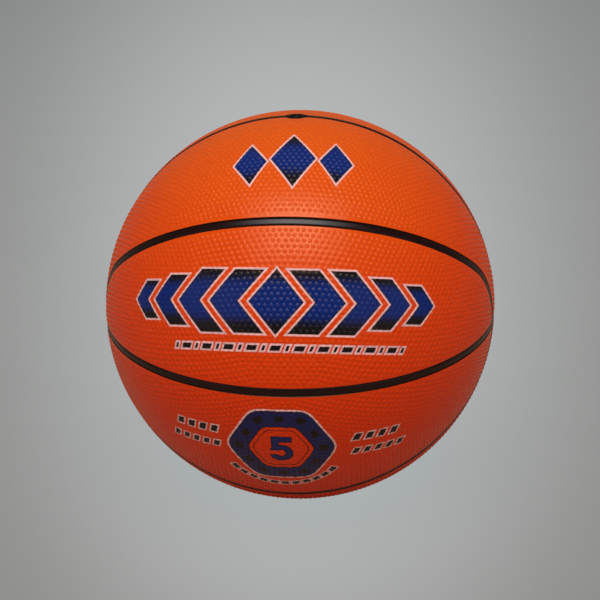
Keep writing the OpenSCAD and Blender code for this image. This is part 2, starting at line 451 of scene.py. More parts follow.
def underside(rim, depth):
    """Points and triangles of a plain underside within a rim of points. The rim's points come first."""
    centre = unit(rim.mean(0))
    points = np.concatenate([rim, UNDER_POINTS[depth(UNDER_POINTS) > UNDER_GAP] * PANEL_FOOT_R])
    right = unit(np.cross(ASKEW, centre))
    q = unit(points)
    spread = 1 / (1 + q @ centre)
    plan = np.stack([(q @ right) * spread, (q @ np.cross(centre, right)) * spread], 1)
    edge = [list(range(len(rim)))]
    _, _, faces, sources, _, _ = delaunay_2d_cdt([Vector(v) for v in plan], [], edge, 1, 1e-9)
    triangles = np.array([s[0] for s in sources])[np.array(faces)]
    a, b, c = (points[triangles[:, corner]] for corner in range(3))
    facing_out = np.einsum("ij,ij->i", np.cross(b - a, c - a), a) > 0
    triangles[facing_out] = triangles[facing_out][:, ::-1]
    return points, triangles


def panel_base(points, triangles, depth):
    """A closed panel: an outer face cut from the lattice, the rounded lip, the wall and a plain underside."""

    def lip_depth(p):
        return depth(p) - LIP_R

    nearby = depth(unit(points[triangles].mean(1))) > -PITCH
    p, t = cut_at_edge(points, triangles[nearby], lip_depth)
    rim = outline(t)
    out = -slope(lip_depth, p[rim])
    rings = arc((0, COVER_R - LIP_R), LIP_R, LIP_TURNS) + [(LIP_R, WALL_MID_R), (LIP_R, PANEL_FOOT_R)]
    all_points, all_triangles = [p * COVER_R], [t]
    last, count, total = rim, len(rim), len(p)
    for away, radius in rings:
        angle = away / BALL_R
        now = total + np.arange(count)
        a, b, c, d = last, np.roll(last, -1), np.roll(now, -1), now
        # The rim runs with its mesh on the left, so the lip's faces run the other way along it
        all_triangles += [np.stack([b, a, d], 1), np.stack([b, d, c], 1)]
        all_points.append((p[rim] * math.cos(angle) + out * math.sin(angle)) * radius)
        last, total = now, total + count
    under_points, under = underside(all_points[-1], depth)
    all_points.append(under_points[count:])
    all_triangles.append(under + last[0])
    merged = np.concatenate(all_points)
    below = len(merged) - len(p)
    lip_paint = np.repeat([float(turn < PAINT_FROM) for turn in LIP_TURNS], count)
    marks = {
        "inside_edge": np.concatenate([np.maximum(lip_depth(p), 0), np.zeros(below)]),
        "painted": np.concatenate([np.zeros(len(p)), lip_paint, np.ones(below - len(lip_paint))]),
    }
    return merged * MM, np.concatenate(all_triangles), marks


# Shapes grown by rule


def geometry_tree(name, **inputs):
    """A new geometry tree with a Geometry output, and its named inputs as Wires. inputs: labels by kind."""
    tree = bpy.data.node_groups.new(name, "GeometryNodeTree")
    tree.interface.new_socket("Geometry", in_out="OUTPUT", socket_type="NodeSocketGeometry")
    for kind, labels in inputs.items():
        for label in labels:
            tree.interface.new_socket(label, in_out="INPUT", socket_type="NodeSocket" + kind)
    return tree, {s.name: Wire(tree, s) for s in tree.nodes.new("NodeGroupInput").outputs}


def close_tree(tree, shape, material):
    """Ends a tree in Realize Instances and Set Material."""
    real = make(tree, "GeometryNodeRealizeInstances", None, {"Geometry": shape})
    done = make(tree, "GeometryNodeSetMaterial", None, {"Geometry": real, "Material": material})
    end = tree.nodes.new("NodeGroupOutput")
    tree.links.new(done.socket, end.inputs[0])


def grow(name, tree, mesh, values):
    """Runs a tree on a mesh and returns the result as an object with a plain mesh."""
    seed = shown(name + ".seed", mesh)
    modifier = seed.modifiers.new("grow", "NODES")
    modifier.node_group = tree
    sockets = {s.name: s.identifier for s in tree.interface.items_tree if s.in_out == "INPUT"}
    for label, value in values.items():
        modifier[sockets[label]] = value
    bpy.context.view_layer.update()
    made = bpy.data.meshes.new_from_object(seed.evaluated_get(bpy.context.evaluated_depsgraph_get()))
    made.name = name
    bpy.data.objects.remove(seed)
    return shown(name, made)


def pebble_tree():
    """Raises a low dome over each pebble's centre, and keeps how far each point lies from that centre."""
    tree, given = geometry_tree(
        "pebble_relief",
        Geometry=["Geometry"],
        Object=["Centres"],
        Float=["Pebble radius", "Foot radius", "Pebble height", "Roundness", "Smooth edge", "Uneven height"],
        Int=["Seed"],
        Material=["Material"],
    )
    position = make(tree, "GeometryNodeInputPosition")
    feeds = {"Object": given["Centres"]}
    centres = make(tree, "GeometryNodeObjectInfo", {"transform_space": "ORIGINAL"}, feeds, "Geometry")
    feeds = {"Geometry": centres, "Sample Position": position}
    nearest = make(tree, "GeometryNodeSampleNearest", {"domain": "POINT"}, feeds)

    def at_nearest(kind, value):
        feeds = {"Geometry": centres, "Value": value, "Index": nearest}
        return make(tree, "GeometryNodeSampleIndex", {"data_type": kind, "domain": "POINT"}, feeds)

    def named(label):
        return make(tree, "GeometryNodeInputNamedAttribute", {"data_type": "FLOAT"}, {"Name": label})

    centre, spacing = at_nearest("FLOAT_VECTOR", position), at_nearest("FLOAT", named("spacing"))
    away = position.vector("DISTANCE", centre, out="Value") / spacing / given["Pebble radius"]
    feeds = {2: 0.0, 3: 1.0, "ID": nearest, "Seed": given["Seed"]}
    uneven = make(tree, "FunctionNodeRandomValue", {"data_type": "FLOAT"}, feeds, 1)
    smooth_edge = given["Smooth edge"]
    fade = at_nearest("FLOAT", named("inside_edge")).smooth(smooth_edge, smooth_edge + EDGE_FADE)
    fade = fade * named("inside_edge").smooth(0.0, LIP_FADE)
    dome = (1.0 - away * away).most(0.0) ** given["Roundness"]
    rise = dome * fade * given["Pebble height"] * (1.0 - uneven * given["Uneven height"])
    feeds = {"Geometry": given["Geometry"], "Offset": position.vector("NORMALIZE").vector("SCALE", rise)}
    shape = make(tree, "GeometryNodeSetPosition", None, feeds)
    for label, value in (("from_pebble", away), ("pebble_fade", fade)):
        settings = {"data_type": "FLOAT", "domain": "POINT"}
        feeds = {"Geometry": shape, "Name": label, "Value": value}
        shape = make(tree, "GeometryNodeStoreNamedAttribute", settings, feeds)
    # A crease where a pebble's foot meets the cover
    from_foot = abs(named("from_pebble") * given["Pebble radius"] - given["Foot radius"])
    feeds = {"Geometry": shape, "Selection": from_foot.math("LESS_THAN", FOOT_NEAR), "Shade Smooth": False}
    close_tree(tree, make(tree, "GeometryNodeSetShadeSmooth", {"domain": "EDGE"}, feeds), given["Material"])
    return tree


def strip_tree():
    """Sweeps a strip with rounded edges and a crown along a path on the ball."""
    tree, given = geometry_tree(
        "seam_strip",
        Geometry=["Geometry"],
        Float=["Width", "Thickness", "Edge rounding", "Crown"],
        Material=["Material"],
    )
    position = make(tree, "GeometryNodeInputPosition")
    path = make(tree, "GeometryNodeMeshToCurve", None, {"Mesh": given["Geometry"]})
    feeds = {"Curve": path, "Normal": position.vector("NORMALIZE")}
    upright = make(tree, "GeometryNodeSetCurveNormal", {"mode": "FREE"}, feeds)
    feeds = {"Width": given["Thickness"], "Height": given["Width"]}
    oblong = make(tree, "GeometryNodeCurvePrimitiveQuadrilateral", {"mode": "RECTANGLE"}, feeds)
    feeds = {"Curve": oblong, "Count": STRIP_CORNER_STEPS, "Radius": given["Edge rounding"]}
    rounded = make(tree, "GeometryNodeFilletCurve", {"mode": "POLY"}, feeds)
    feeds = {"Curve": rounded, "Count": STRIP_PROFILE_POINTS}
    profile = make(tree, "GeometryNodeResampleCurve", {"mode": "COUNT"}, feeds)
    across = position.part("Y") / given["Width"] * 2.0
    height = position.part("X") / given["Thickness"] + 0.5
    lift = (1.0 - (across * across) ** 2) * given["Crown"] * height
    feeds = {"Geometry": profile, "Offset": make(tree, "ShaderNodeCombineXYZ", None, {"X": lift})}
    crowned = make(tree, "GeometryNodeSetPosition", None, feeds)
    feeds = {"Curve": upright, "Profile Curve": crowned, "Fill Caps": True}
    feeds = {"Geometry": make(tree, "GeometryNodeCurveToMesh", None, feeds), "Shade Smooth": True}
    close_tree(tree, make(tree, "GeometryNodeSetShadeSmooth", {"domain": "FACE"}, feeds), given["Material"])
    return tree


def path_mesh(name, directions, closed):
    count = len(directions)
    edges = [(i, (i + 1) % count) for i in range(count if closed else count - 1)]
    mesh = bpy.data.meshes.new(name)
    mesh.from_pydata((np.asarray(directions) * STRIP_MID_R * MM).tolist(), edges, [])
    return mesh


def side_direction(azimuth):
    c, s = math.cos(LOOP_HALF_ANGLE), math.sin(LOOP_HALF_ANGLE)
    return np.stack([np.cos(azimuth), np.sin(azimuth) * c, -np.sin(azimuth) * s], 1)


def tip_direction(azimuth):
    along, across = math.cos(TIP_ANGLE), math.sin(TIP_ANGLE) * np.sin(azimuth)
    down = math.sin(TIP_ANGLE) * np.cos(azimuth)
    c, s = math.cos(TIP_AXIS), math.sin(TIP_AXIS)
    return np.stack([along * c + across * s, across * c - along * s, -down], 1)


def loop_path():
    """Directions round the middle of the front loop's seam, one every 2 mm or so."""
    side_start = math.atan(math.tan(TIP_AXIS) * math.cos(LOOP_HALF_ANGLE))
    tip_start = math.atan(math.tan(LOOP_HALF_ANGLE) * math.cos(TIP_AXIS))
    quarter = np.concatenate([
        side_direction(np.linspace(-math.pi / 2, -side_start, SIDE_POINTS))[:-1],
        tip_direction(np.linspace(math.pi - tip_start, math.pi / 2, TIP_POINTS)),
    ])
    quarters = [
        quarter,
        quarter[-2::-1] * (1, 1, -1),
        quarter[1:] * (-1, 1, -1),
        quarter[-2:0:-1] * (-1, 1, 1),
    ]
    return np.concatenate(quarters)


def equator_path(start, end):
    """Directions along the front half of the equator, between two angles from the +X pole."""
    a = np.linspace(start, end, max(8, int(abs(end - start) * BALL_R / PATH_STEP)))
    return np.stack([np.cos(a), -np.sin(a), 0 * a], 1)


def turned(name, profile, rubber):
    """An object from a closed profile of (radius, height) points in mm, turned about the Z axis."""
    radius, height = np.array(profile, float).T
    a = np.linspace(0, 2 * math.pi, VALVE_SEGMENTS, endpoint=False)
    x, y, z = np.outer(np.cos(a), radius), np.outer(np.sin(a), radius), np.outer(0 * a + 1, height)
    count = len(profile)
    i, j = np.meshgrid(np.arange(VALVE_SEGMENTS), np.arange(count), indexing="ij")
    i2, j2 = (i + 1) % VALVE_SEGMENTS, (j + 1) % count
    quads = np.stack([i * count + j, i2 * count + j, i2 * count + j2, i * count + j2], 2).reshape(-1, 4)
    mesh = mesh_from(name, np.stack([x, y, z], 2).reshape(-1, 3) * MM, quads)
    middle = Vector((0, 0, float(height.mean()) * MM))
    if sum(((p.center - middle).dot(p.normal)) * p.area for p in mesh.polygons) < 0:
        mesh.flip_normals()
    mesh.materials.append(rubber)
    return shown(name, mesh)


# Materials


def place_on_ball(tree):
    """The point's place in mm from the ball's centre."""
    return make(tree, "ShaderNodeTexCoord", None, None, "Object").vector("SCALE", 1 / MM)


def material(name, look, *values):
    """A material whose Principled shader is fed with what the look gives for a place on the ball."""
    made = bpy.data.materials.new(name)
    made.use_nodes = True
    tree = made.node_tree
    tree.nodes.clear()
    shader = tree.nodes.new("ShaderNodeBsdfPrincipled")
    end = tree.nodes.new("ShaderNodeOutputMaterial")
    tree.links.new(shader.outputs[0], end.inputs["Surface"])
    feed(shader, look(place_on_ball(tree), *values))
    return made


def noise(place, scale, detail=3.0, rough=0.5):
    """Noise from 0 to 1 with so many lumps in a millimetre."""
    feeds = {"Vector": place, "Scale": scale, "Detail": detail, "Roughness": rough}
    return make(place.tree, "ShaderNodeTexNoise", None, feeds)


def bump(height):
    """Bump from a height in mm."""
    feeds = {"Height": height, "Strength": 1.0, "Distance": MM}
    return make(height.tree, "ShaderNodeBump", None, feeds, "Normal")


# Colours
ORANGE_SHADED_BELOW, ORANGE_LIT_ABOVE = srgb(229, 53, 8), srgb(229, 91, 14)  # painted light: yellower towards the top, where the lamps fall, and redder below, in shade
PINK = srgb(238, 184, 182)
BLACK_INK = srgb(14, 14, 22)
ROYAL = srgb(0, 38, 114)
NAVY = srgb(14, 30, 84)
NUMBER_BLUE = srgb(14, 34, 98)
SEAM_BLACK = srgb(25, 2, 3)

COVER_SHINE = 0.34
SHINE_TINT = (1.0, 0.74, 0.44)
GLOSS, DULL_TOP = 0.14, 0.42  # roughness between the pebbles, and how much more their tops have
GRAIN_H, DOME_H, INK_H = 0.01, 0.06, 0.012  # fine relief of the cover, in mm
THREAD_AXES = ((0.36, 0.48, 0.80), (-0.64, 0.60, 0.48), (0.60, -0.64, 0.48))
THREAD_PITCH, THREAD_HALF = 1.1, 0.42

# The print, in mm on the ball. A box is given by its middle and its half sizes
INK_EDGE = 0.09  # softness of a printed edge
INK_WOBBLE = 0.09
PINK_EDGE, SMALL_PINK_EDGE = 1.0, 0.8
BLACK_EDGE = 0.5
DOT_PITCH = 0.9
DOT_EDGE = 0.1  # softness of the dots, in shares of their wave
DOT_MARGIN = 0.12  # the dots' level runs so far past none and past all
SHADE_UP = 1.0  # the blue is brightest so far above a motif's middle
BAND_AT = (-2.25, 23.7)  # degrees round from the front and up, as for all the motifs
BAND_HALF = 15.5
BAND_SLOPE = 0.84
BAND_LOZENGE = 13.5
# Where each chevron starts and ends along the band, and its half height
BAND_CHEVRONS = ((19.0, 34.0, 15.5), (39.5, 52.0, 15.5), (57.5, 68.5, 12.5), (74.0, 83.5, 9.5))
BAND_SHADE = (0.25, 1.0)  # where the dots start and where they close, in shares of the half height
LINE_AT, LINE_FROM, LINE_TO, LINE_PITCH = -22.6, -56.1, 68.1, 12.0
LINE_SLANT, LINE_HALF, LONG_HALF, SHORT_HALF = 0.4, 1.3, 2.5, 0.7
CLEAN_END = 10.0  # rows of dashes stop between two dashes, and sharply
TOP_AT = (2.0, 65.0)
TOP_LOZENGES = ((0.0, 0.0, 11.5, 19.5), (-22.0, -1.5, 8.5, 14.5), (22.0, -1.5, 8.5, 14.5))
TOP_SHADE = (0.1, 0.95)
BADGE_AT = (-1.8, -18.3)
BADGE_R, BADGE_INNER_R = 26.0, 15.0
BADGE_POWER = 12  # the higher, the sharper the badge's corners
STUD_R, STUD_STEP, STUD_ARC = 20.2, 30.0, 0.36  # degrees between studs, and mm round the badge in a degree
STUD_HALF_X, STUD_HALF_Y = 2.2, 1.9
THIN_R, THIN_HALF, THIN_GAP = 12.9, 0.22, 0.6  # the line round the figure, and its gap to the figure
FIVE_BAR, FIVE_STEM, FIVE_GAP = (0.5, 6.9, 4.9, 1.6), (-2.9, 4.0, 1.5, 4.2), (-5.0, -2.6, 5.2, 2.0)
FIVE_BOWL_AT, FIVE_BOWL_R, FIVE_STROKE = -2.9, 4.2, 1.6
SIDE_MARKS_AT = ((-26.5, -16.0), (25.5, -18.0))
# The middle outwards and up, the count and pitch of the dashes, and a dash's half sizes
SIDE_ROWS = ((-1.5, 5.0, 4, 6.8, 1.8, 2.1), (1.5, -5.4, 5, 6.2, 1.6, 1.9))
SIDE_SLANT = 0.35
ARC_R, ARC_PITCH, ARC_DASHES = 32.3, 6.0, 11
ARC_HALF_X, ARC_HALF_Y = 2.0, 1.6


def ball_frame(place, lon, lat):
    """Distances in mm along great circles from a point of the ball: to the right of it and up."""
    direction = place.vector("NORMALIZE")
    ahead, right, up = (direction.dot(axis) for axis in directions_at(lon, lat))
    return right.math("ARCTAN2", ahead) * BALL_R, up.math("ARCSINE") * BALL_R


# Each shape below is a distance in mm, below zero inside it


def box(u, v, x, y, half_x, half_y):
    return (abs(u - x) - half_x).most(abs(v - y) - half_y)


def lozenge(u, v, x, y, half_x, half_y):
    return (abs(u - x) / half_x + abs(v - y) / half_y - 1.0) * (half_x * half_y / math.hypot(half_x, half_y))


def length(u, v):
    return (u * u + v * v) ** 0.5


def band_shape(u, v):
    """A lozenge between chevrons that point outwards."""
    along = abs(u) + abs(v) * BAND_SLOPE
    upright = math.cos(math.atan(BAND_SLOPE))
    shape = (along - BAND_LOZENGE) * upright
    for start, end, half in BAND_CHEVRONS:
        bar = (abs(along - (start + end) / 2) - (end - start) / 2) * upright
        shape = shape.least(bar.most(abs(v) - half))
    return shape


def line_shape(u, v):
    """Long and short slanted dashes in turn."""
    leaning = u - (v - LINE_AT) * LINE_SLANT
    long_dash = leaning.math("PINGPONG", LINE_PITCH / 2) - LONG_HALF
    short_dash = (leaning - LINE_PITCH / 2).math("PINGPONG", LINE_PITCH / 2) - SHORT_HALF
    ends = abs(leaning - (LINE_FROM + LINE_TO) / 2) - (LINE_TO - LINE_FROM) / 2
    return long_dash.least(short_dash).most(abs(v - LINE_AT) - LINE_HALF).most(ends * CLEAN_END)


def hexagon(u, v, radius):
    """A hexagon with rounded corners and a level top."""
    flat, steep = u * math.cos(math.radians(30)), v * math.sin(math.radians(30))
    total = sum(abs(side) ** BADGE_POWER for side in (v, flat + steep, flat - steep))
    return total ** (1 / BADGE_POWER) - radius


def five(u, v):
    """The figure 5 out of a bar, a stem and a bowl, 17 mm high."""
    bar, stem, gap = (box(u, v, *sizes) for sizes in (FIVE_BAR, FIVE_STEM, FIVE_GAP))
    bowl = abs(length(u, v - FIVE_BOWL_AT) - FIVE_BOWL_R) - FIVE_STROKE
    return bar.least(stem).least(bowl.most(-gap))


def dashes(u, v, x, y, count, pitch, half_x, half_y):
    """A row of slanted dashes round a middle point."""
    leaning = u - x - (v - y) * SIDE_SLANT
    row = (leaning + (0.0 if count % 2 else pitch / 2)).math("PINGPONG", pitch / 2) - half_x
    return row.most(abs(v - y) - half_y).most((abs(leaning) - count * pitch / 2) * CLEAN_END)


def small_marks(place, u, v):
    """Two rows of dashes on either side of the badge and an arc of them under it."""
    sweep, off_arc = u.math("ARCTAN2", -v) * ARC_R, abs(length(u, v) - ARC_R)
    marks = (sweep.math("PINGPONG", ARC_PITCH / 2) - ARC_HALF_X).most(off_arc - ARC_HALF_Y)
    marks = marks.most((abs(sweep) - ARC_DASHES * ARC_PITCH / 2) * CLEAN_END)
    for lon, lat in SIDE_MARKS_AT:
        x, y = ball_frame(place, lon, lat)
        for outwards, *row in SIDE_ROWS:
            marks = marks.least(dashes(x, y, outwards * math.copysign(1, lon), *row))
    return marks


def inked(colour, shape, ink, reach=0.0):
    """The colour with ink laid where the shape's distance is below reach."""
    return mix_colour(shape.smooth(reach + INK_EDGE, reach - INK_EDGE), colour, ink)


def outlined(colour, shape, pink_edge=PINK_EDGE):
    """The colour with the shape in black ink and a pink edge round it."""
    return inked(inked(colour, shape, PINK, pink_edge), shape, BLACK_INK)


def halftone(u, v, share):
    """Black dots that grow with share, on royal blue."""
    turn = 2 * math.pi / DOT_PITCH * math.sqrt(0.5)
    dots = ((u + v) * turn).math("COSINE") * ((u - v) * turn).math("COSINE") * 0.5 + 0.5
    black = share * (1 + 2 * DOT_MARGIN) - DOT_MARGIN - dots
    return mix_colour(black.smooth(-DOT_EDGE, DOT_EDGE), ROYAL, BLACK_INK)


def band_print(colour, place, wobble):
    u, v = ball_frame(place, *BAND_AT)
    shape, line = band_shape(u, v) + wobble, line_shape(u, v) + wobble
    along = abs(u) + abs(v) * BAND_SLOPE
    half = BAND_HALF - sum(
        along.math("GREATER_THAN", (before[1] + after[0]) / 2) * (before[2] - after[2])
        for before, after in zip(BAND_CHEVRONS[1:], BAND_CHEVRONS[2:])
    )
    shade = (abs(v - SHADE_UP) / half).smooth(*BAND_SHADE)
    printed = shape.least(line)
    return inked(outlined(colour, printed), shape, halftone(u, v, shade), -BLACK_EDGE), printed


def top_print(colour, place, wobble):
    u, v = ball_frame(place, *TOP_AT)
    shape = lozenge(u, v, *TOP_LOZENGES[0])
    for sizes in TOP_LOZENGES[1:]:
        shape = shape.least(lozenge(u, v, *sizes))
    shape = shape + wobble
    shade = (abs(v - SHADE_UP) / TOP_LOZENGES[0][3]).smooth(*TOP_SHADE)
    return inked(outlined(colour, shape), shape, halftone(u, v, shade), -BLACK_EDGE), shape


def badge_print(colour, place, wobble):
    u, v = ball_frame(place, *BADGE_AT)
    outer, inner = hexagon(u, v, BADGE_R - PINK_EDGE) + wobble, hexagon(u, v, BADGE_INNER_R) + wobble
    angle = u.math("ARCTAN2", v) * math.degrees(1)
    stud_ring = abs(hexagon(u, v, STUD_R)) - STUD_HALF_Y
    studs = (angle.math("PINGPONG", STUD_STEP / 2) * STUD_ARC - STUD_HALF_X).most(stud_ring) + wobble
    number = five(u, v) + wobble
    thin_line = abs(hexagon(u, v, THIN_R)) - THIN_HALF
    small = small_marks(place, u, v) + wobble
    ground = inked(outlined(colour, outer), outer, NAVY, -BLACK_EDGE)
    ground = inked(ground, studs, BLACK_INK)
    ground = inked(ground, inner, BLACK_INK, BLACK_EDGE)
    ground = inked(ground, inner, colour)
    ground = inked(ground, number, BLACK_INK, BLACK_EDGE)
    ground = inked(ground, thin_line.most(THIN_GAP - number), BLACK_INK)
    ground = inked(ground, number, NUMBER_BLUE)
    return outlined(ground, small, SMALL_PINK_EDGE), small.least(outer.most(-inner)).least(number)


def cover_rubber(place, motif=None, facing=1):
    """Orange rubber with black channel walls and maybe a print. facing: -1 turns the print to the back."""
    away, fade, painted = (
        make(place.tree, "ShaderNodeAttribute", {"attribute_name": label}, None, "Fac")
        for label in ("from_pebble", "pebble_fade", "painted")
    )
    broad, mottle, grain = noise(place, 0.03, 2.0), noise(place, 0.35, 4.0, 0.6), noise(place, 2.4)
    # Painted light: the orange runs from the shaded red below to the lit yellow above, with a little noise
    height = (place.part("Z") * (0.5 / BALL_R) + 0.5 + (broad - 0.5) * 0.1).most(0.0) ** 3
    colour = mix_colour(height, ORANGE_SHADED_BELOW, ORANGE_LIT_ABOVE)
    colour = mix_colour(mottle.smooth(0.35, 0.75) * 0.1, colour, times(ORANGE_SHADED_BELOW, 0.8))
    ink = 0.0
    if motif:
        seen = place.vector("MULTIPLY", (facing, facing, 1))
        colour, shape = motif(colour, seen, (noise(place, 0.9, 2.0) - 0.5) * INK_WOBBLE)
        ink = shape.smooth(PINK_EDGE, PINK_EDGE - 2 * INK_EDGE)
    walls = painted.smooth(0.4, 0.6)
    dome = (1.0 - away * away).most(0.0) * fade
    return {
        "Base Color": mix_colour(walls, colour, SEAM_BLACK),
        "Roughness": GLOSS + mottle * 0.08 + dome * DULL_TOP + walls * 0.1,
        "Normal": bump(grain * GRAIN_H + dome * DOME_H + ink * INK_H),
        "Specular IOR Level": COVER_SHINE,
        "Specular Tint": (*SHINE_TINT, 1.0),
    }


def black_rubber(place, colour, roughness, shine):
    broad, grain, scuffs = noise(place, 0.06), noise(place, 3.0), noise(place, 0.6, 5.0, 0.7)
    tone = mix_colour(broad, times(colour, 0.8), times(colour, 1.25))
    return {
        "Base Color": mix_colour(scuffs.smooth(0.55, 0.8) * 0.3, tone, times(colour, 2.2)),
        "Roughness": roughness - 0.05 + scuffs * 0.1,
        "Specular IOR Level": shine,
        "Normal": bump(grain * 0.008),
    }


def butyl_rubber(place):
    """Dull black rubber with a bloom of talc."""
    talc, grain = noise(place, 0.05, 6.0, 0.65), noise(place, 1.6, 4.0)
    return {
        "Base Color": mix_colour(talc.smooth(0.45, 0.8) * 0.5, srgb(34, 34, 36), srgb(120, 118, 114)),
        "Roughness": 0.5 + talc * 0.25,
        "Normal": bump(grain * 0.05),
    }


def from_thread(place, axis):
    """How far in mm a point lies from the middle of the nearest turn of thread wound round an axis."""
    return (place.vector("NORMALIZE").dot(axis).math("ARCSINE") * BALL_R).math("PINGPONG", THREAD_PITCH / 2)


def nylon_thread(place):
    """Thread wound round the ball in three crossing directions."""
    height = 0.0
    for axis in THREAD_AXES:
        thread = (1.0 - (from_thread(place, axis) / THREAD_HALF) ** 2).most(0.0) ** 0.5
        height = (thread * (noise(place, 0.08, 1.0) * 0.3 + 0.7)).most(height)
    wear = noise(place, 0.4, 4.0)
    tone = mix_colour(wear, srgb(206, 198, 178), srgb(228, 222, 206))
    # Between the threads the colour darkens: partly the darker layer below, partly painted shade in the gaps
    return {
        "Base Color": mix_colour(height.smooth(0.1, 0.6), srgb(92, 84, 72), tone),
        "Roughness": 0.5 + wear * 0.15,
        "Normal": bump(height * 0.25),
    }


def carcass_rubber(place):
    """Brown-black rubber with the thread showing faintly through."""
    rib, blotch = from_thread(place, THREAD_AXES[0]), noise(place, 0.12, 4.0, 0.6)
    return {
        "Base Color": mix_colour(blotch, srgb(44, 38, 34), srgb(70, 60, 52)),
        "Roughness": 0.55 + blotch * 0.2,
        "Normal": bump(rib * 0.1 + noise(place, 1.5, 4.0) * 0.06),
    }


PRINTS = {"upper_inner": band_print, "upper_outer": top_print, "lower_inner": badge_print}
PLAIN_COVER = material("cover_rubber_plain", cover_rubber)
STRIP = material("seam_black", black_rubber, SEAM_BLACK, 0.28, 0.3)
DULL_STRIP = material("seam_black_dull", black_rubber, srgb(22, 2, 2), 0.5, 0.1)
VALVE = material("valve_black", black_rubber, srgb(12, 9, 10), 0.4, 0.1)
CORE = material("plug_black", black_rubber, srgb(28, 26, 28), 0.5, 0.2)
BUTYL = material("bladder_butyl", butyl_rubber)
NYLON = material("wound_nylon", nylon_thread)
CARCASS = material("carcass_brown", carcass_rubber)


# The pieces


def pebble_lattice():
    """Points and triangles of the cover's lattice, and each pebble's centre and the way to the next in mm."""
    points, triangles, homes, rings = lattice(PEBBLE_LATTICE * FINE, FINE)
    stray = np.random.default_rng(STRAY_SEED).normal(0, PEBBLE_STRAY / 2, points.shape) / BALL_R
    strayed = unit(points + np.clip(stray, -PEBBLE_STRAY / BALL_R, PEBBLE_STRAY / BALL_R))
    # The way from each pebble to the next, from the points one step off it
    one_off = rings == 1
    step_length = BALL_R * np.linalg.norm(points[one_off] - points[homes[one_off]], axis=1)
    spacing = np.full(len(points), PITCH * 2)
    np.minimum.at(spacing, homes[one_off], FINE * step_length)
    # The points near a centre go onto rings round it, so that the pebble's top and foot are both met
    ringed = rings < len(PEBBLE_RINGS)
    home = strayed[homes[ringed]]
    away = points[ringed] - home
    away -= (away * home).sum(1, keepdims=True) * home
    away /= np.maximum(np.linalg.norm(away, axis=1, keepdims=True), 1e-9)
    reach = np.array(PEBBLE_RINGS)[rings[ringed]][:, None] * spacing[homes[ringed]][:, None] / BALL_R
    points[ringed] = unit(home * np.cos(reach) + away * np.sin(reach))
    return points, triangles, strayed[rings == 0], spacing[rings == 0]


def pebble_points(centres, spacing):
    """An object with a point at each pebble's centre, which keeps how far inside a panel that lies."""
    inside_edge = np.max([panel_depth(centres, up, side, inner) for _, up, side, inner in PANELS], axis=0)
    from_valve = BALL_R * np.arccos(centres[:, 2]) - COLLAR_R - VALVE_SMOOTH
    mesh = bpy.data.meshes.new("pebble_centres")
    mesh.from_pydata((centres * COVER_R * MM).tolist(), [], [])
    keep_values(mesh, {"inside_edge": np.minimum(inside_edge, from_valve) - LIP_R, "spacing": spacing * MM})
    return shown("pebble_centres", mesh)


lattice_points, lattice_triangles, *pebble_places = pebble_lattice()
centre_points = pebble_points(*pebble_places)
pebbles = pebble_tree()
for name, up, side, inner in PANELS:
    motif = PRINTS.get(name.split("_", 1)[1])
    cover = material("cover_rubber_" + name, cover_rubber, motif, -side) if motif else PLAIN_COVER
    base = panel_base(lattice_points, lattice_triangles, lambda p: panel_depth(p, up, side, inner))
    panel = grow(
        "cover_" + name,
        pebbles,
        mesh_from("panel_base", *base),
        {
            "Centres": centre_points,
            "Pebble radius": PEBBLE_R,
            "Foot radius": PEBBLE_RINGS[-1],
            "Pebble height": PEBBLE_H * MM,
            "Roundness": PEBBLE_ROUNDNESS,
            "Smooth edge": SMOOTH_EDGE,
            "Uneven height": PEBBLE_UNEVEN,
            "Seed": HEIGHT_SEED,
            "Material": cover,
        },
    )
    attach(panel, "root")
    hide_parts("panel_" + name)
bpy.data.objects.remove(centre_points)

strips = strip_tree()
valve_edge, channel_edge = (COLLAR_R - UNDER_COLLAR) / BALL_R, CHANNEL_HALF / BALL_R
tip_end = TIP_AXIS - TIP_ANGLE
long_equator = equator_path(tip_end + channel_edge, math.pi - tip_end - channel_edge)
short_equator = equator_path(channel_edge, tip_end - channel_edge)
turn = np.linspace(valve_edge, 2 * math.pi - valve_edge, RING_POINTS)
FACES, HANDS = ((1, "front"), (-1, "back")), ((1, "right"), (-1, "left"))
paths = {
    "ring": np.stack([np.sin(turn), 0 * turn, np.cos(turn)], 1),
    **{"loop_" + face: loop_path() * (1, y, 1) for y, face in FACES},
    **{"equator_" + face: long_equator * (1, y, 1) for y, face in FACES},
    **{f"cross_{face}_{hand}": short_equator * (x, y, 1) for y, face in FACES for x, hand in HANDS},
}
for name, path in paths.items():
    strip = grow(
        "seam_" + name,
        strips,
        path_mesh("seam_path", path, closed="loop" in name),
        {
            "Width": STRIP_W * MM,
            "Thickness": STRIP_T * MM,
            "Edge rounding": STRIP_ROUNDING * MM,
            "Crown": STRIP_CROWN * MM,
            "Material": DULL_STRIP if name == "ring" else STRIP,
        },
    )
    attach(strip, "root")
    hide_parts("strip_" + name)

